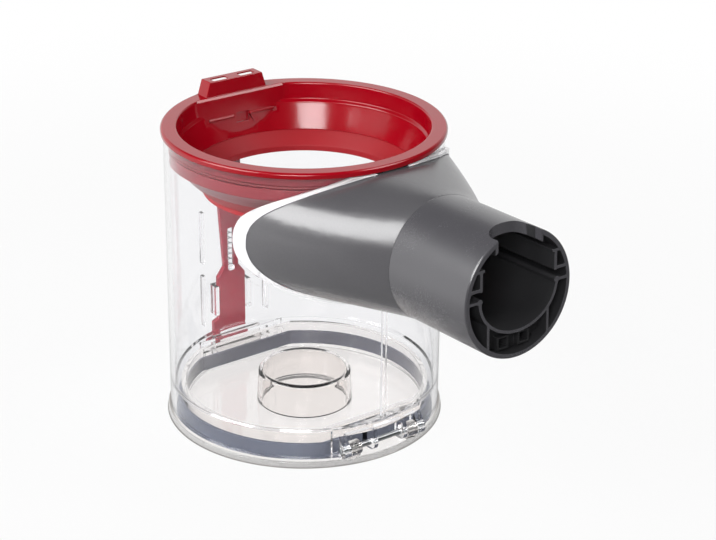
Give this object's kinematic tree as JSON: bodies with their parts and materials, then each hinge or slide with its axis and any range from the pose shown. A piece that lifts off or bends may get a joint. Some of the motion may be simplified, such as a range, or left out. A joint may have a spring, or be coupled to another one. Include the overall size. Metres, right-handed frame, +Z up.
{
  "type": "cyclone dust bin",
  "caption": "Clear round dust bin with a red funnel collar, a grey side inlet nozzle and a sealed bottom flap that swings open.",
  "frame": {"origin": "centre of the underside of the closed base flap, on the axis of the bin", "axes": "+Z up along the bin axis, the inlet nozzle points to -Y, +X to the right seen from the nozzle's mouth"},
  "size_m": [0.1172, 0.199, 0.1341],
  "materials": {
    "clear_plastic": "clear, polished",
    "red_plastic": "satin",
    "red_rubber": "matt",
    "black_rubber": "matt",
    "slate_rubber": "matt",
    "grey_plastic": "satin",
    "dark_plastic": "matt",
    "brass": "plain",
    "steel": "drawn"
  },
  "bodies": {
    "bin": {"bin_body": "clear_plastic", "collar_ring": "red_plastic", "collar_seal": "red_rubber", "wiper_lip": "red_rubber", "inlet_cowl": "grey_plastic", "port_gasket": "black_rubber", "inlet_duct": "dark_plastic", "nozzle_sleeve": "grey_plastic", "contact_housing": "dark_plastic", "contact_terminals": "brass", "hinge_pin": "steel", "slide_spring": "steel"},
    "flap": {"base_flap": "clear_plastic", "base_seal": "slate_rubber"},
    "slide": {"release_slide": "red_plastic"}
  },
  "joints": [
    {"name": "base_hinge", "type": "hinge", "parent": "bin", "child": "flap", "pos_m": [0, -0.0549, 0.0065], "axis": [-1, 0, 0], "range_deg": [0, 95]},
    {"name": "release_press", "type": "slide", "parent": "bin", "child": "slide", "axis": [0, 0, -1], "range_m": [0, 0.0025], "stiffness_N_per_m": 500, "springref_m": -0.002, "deforming": ["slide_spring"]}
  ]
}
